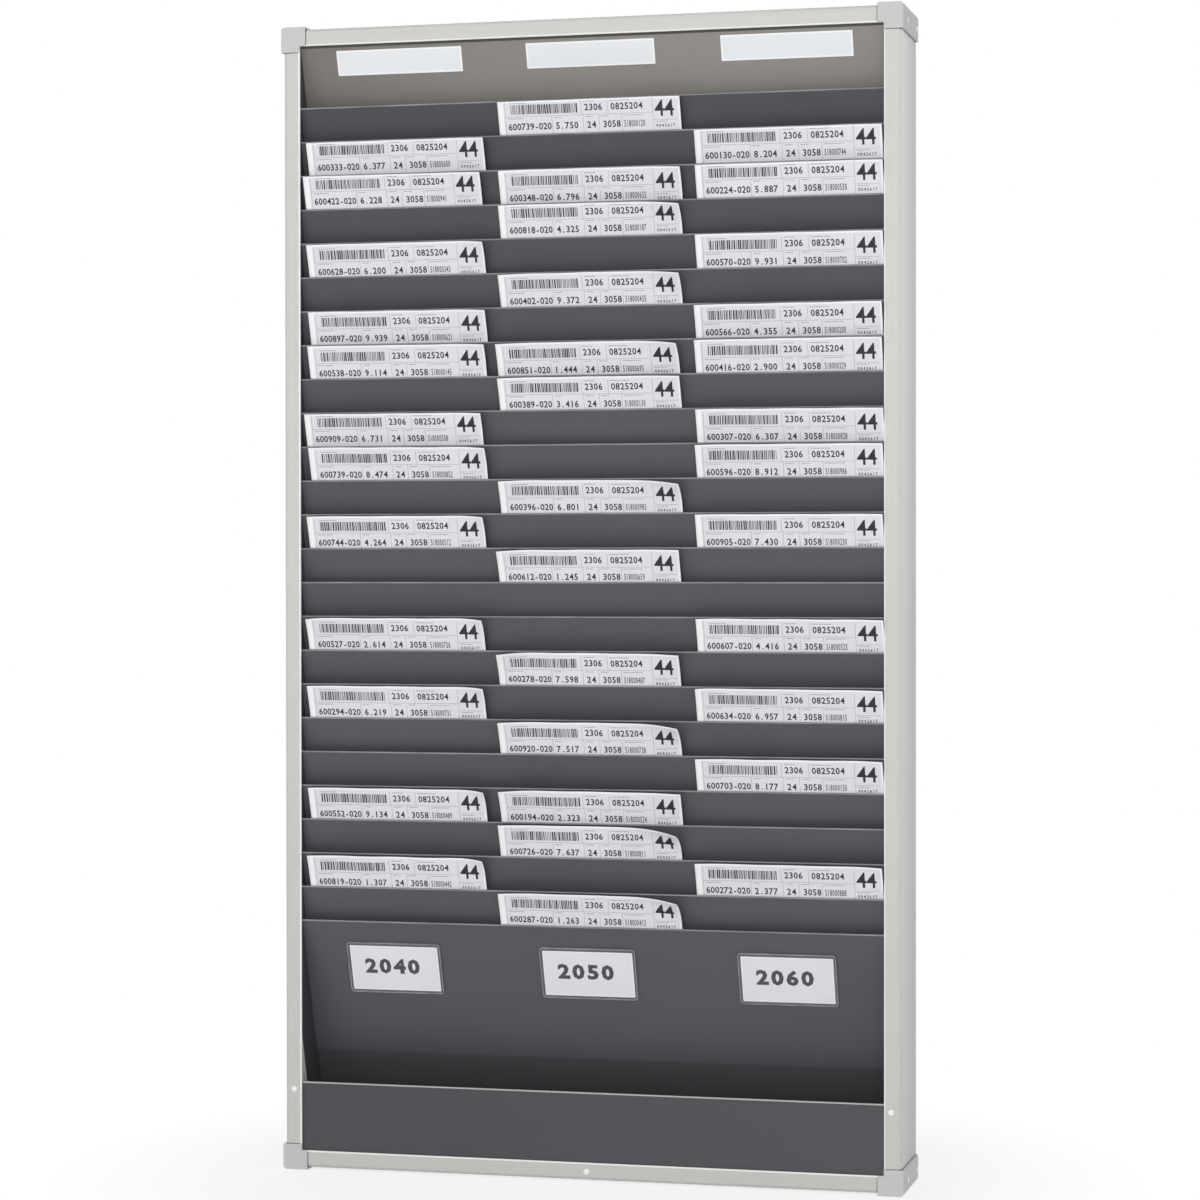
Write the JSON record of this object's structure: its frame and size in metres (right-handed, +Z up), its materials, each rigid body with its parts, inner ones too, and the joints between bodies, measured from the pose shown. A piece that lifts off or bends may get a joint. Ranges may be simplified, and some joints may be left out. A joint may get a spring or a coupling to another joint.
{
  "type": "medical chart rack",
  "caption": "Tall framed wall rack with shingled slanted pocket strips holding paper charts in columns, a header panel, clear label pockets and an open bottom tray.",
  "frame": {"origin": "middle of the footprint box, on the plane of the bottom corner caps' undersides", "axes": "+X to the viewer's right seen from the front, +Y from the front towards the wall, +Z up"},
  "size_m": [0.718, 0.1114, 1.308],
  "materials": {
    "frame_grey": "extruded aluminium, light grey powder coat, satin",
    "cap_grey": "moulded light grey plastic, fine matt grain",
    "back_grey": "grey painted sheet steel",
    "anthracite_sheet": "anthracite sheet, fine satin texture",
    "anthracite_metal": "anthracite powder coat, fine texture",
    "header_taupe": "warm grey sheet, matt",
    "trim_grey": "light grey extruded edge trim, satin gloss",
    "hanger_steel": "zinc-plated steel",
    "label_white": "white label card",
    "clear_film": "clear soft film, welded edges",
    "chart_paper": null
  },
  "bodies": {
    "rack": {"left_profile": "frame_grey", "right_profile": "frame_grey", "top_profile": "frame_grey", "bottom_profile": "frame_grey", "cap_top_left": "cap_grey", "cap_top_right": "cap_grey", "cap_bottom_left": "cap_grey", "cap_bottom_right": "cap_grey", "back_panel": "back_grey", "side_plate_left": "anthracite_metal", "side_plate_right": "anthracite_metal", "tray_front": "anthracite_metal", "tray_floor": "anthracite_metal", "pocket_strip_01": "anthracite_sheet", "pocket_strip_02": "anthracite_sheet", "pocket_strip_03": "anthracite_sheet", "pocket_strip_04": "anthracite_sheet", "pocket_strip_05": "anthracite_sheet", "pocket_strip_06": "anthracite_sheet", "pocket_strip_07": "anthracite_sheet", "pocket_strip_08": "anthracite_sheet", "pocket_strip_09": "anthracite_sheet", "pocket_strip_10": "anthracite_sheet", "pocket_strip_11": "anthracite_sheet", "pocket_strip_12": "anthracite_sheet", "pocket_strip_13": "anthracite_sheet", "pocket_strip_14": "anthracite_sheet", "pocket_strip_15": "anthracite_sheet", "pocket_strip_16": "anthracite_sheet", "pocket_strip_17": "anthracite_sheet", "pocket_strip_18": "anthracite_sheet", "pocket_strip_19": "anthracite_sheet", "pocket_strip_20": "anthracite_sheet", "pocket_strip_21": "anthracite_sheet", "pocket_strip_22": "anthracite_sheet", "pocket_strip_23": "anthracite_sheet", "pocket_strip_24": "anthracite_sheet", "pocket_strip_25": "anthracite_sheet", "header_panel": "header_taupe", "tray_edge_trim": "trim_grey", "hanger_left": "hanger_steel", "hanger_right": "hanger_steel", "header_label_left": "label_white", "label_pocket_left": "clear_film", "header_label_centre": "label_white", "label_pocket_centre": "clear_film", "header_label_right": "label_white", "label_pocket_right": "clear_film"},
    "chart_left_06": {"chart_left_06": "chart_paper"},
    "chart_left_14": {"chart_left_14": "chart_paper"},
    "chart_left_24": {"chart_left_24": "chart_paper"},
    "chart_centre_02": {"chart_centre_02": "chart_paper"},
    "chart_centre_10": {"chart_centre_10": "chart_paper"},
    "chart_centre_20": {"chart_centre_20": "chart_paper"},
    "chart_right_04": {"chart_right_04": "chart_paper"},
    "chart_right_12": {"chart_right_12": "chart_paper"},
    "chart_right_21": {"chart_right_21": "chart_paper"},
    "label_insert_left": {"label_insert_left": "label_white"},
    "label_insert_centre": {"label_insert_centre": "label_white"},
    "label_insert_right": {"label_insert_right": "label_white"}
  },
  "joints": [
    {"name": "lift_left_06", "type": "slide", "parent": "rack", "child": "chart_left_06", "axis": [0, -0.3173, 0.9483], "range_m": [0, 0.265]},
    {"name": "lift_left_14", "type": "slide", "parent": "rack", "child": "chart_left_14", "axis": [0, -0.3173, 0.9483], "range_m": [0, 0.265]},
    {"name": "lift_left_24", "type": "slide", "parent": "rack", "child": "chart_left_24", "axis": [0, -0.3173, 0.9483], "range_m": [0, 0.265]},
    {"name": "lift_centre_02", "type": "slide", "parent": "rack", "child": "chart_centre_02", "axis": [0, -0.3173, 0.9483], "range_m": [0, 0.265]},
    {"name": "lift_centre_10", "type": "slide", "parent": "rack", "child": "chart_centre_10", "axis": [0, -0.3173, 0.9483], "range_m": [0, 0.265]},
    {"name": "lift_centre_20", "type": "slide", "parent": "rack", "child": "chart_centre_20", "axis": [0, -0.3173, 0.9483], "range_m": [0, 0.265]},
    {"name": "lift_right_04", "type": "slide", "parent": "rack", "child": "chart_right_04", "axis": [0, -0.3173, 0.9483], "range_m": [0, 0.265]},
    {"name": "lift_right_12", "type": "slide", "parent": "rack", "child": "chart_right_12", "axis": [0, -0.3173, 0.9483], "range_m": [0, 0.265]},
    {"name": "lift_right_21", "type": "slide", "parent": "rack", "child": "chart_right_21", "axis": [0, -0.3173, 0.9483], "range_m": [0, 0.265]},
    {"name": "slide_insert_left", "type": "slide", "parent": "rack", "child": "label_insert_left", "axis": [0, -0.3173, 0.9483], "range_m": [0, 0.06]},
    {"name": "slide_insert_centre", "type": "slide", "parent": "rack", "child": "label_insert_centre", "axis": [0, -0.3173, 0.9483], "range_m": [0, 0.06]},
    {"name": "slide_insert_right", "type": "slide", "parent": "rack", "child": "label_insert_right", "axis": [0, -0.3173, 0.9483], "range_m": [0, 0.06]}
  ]
}
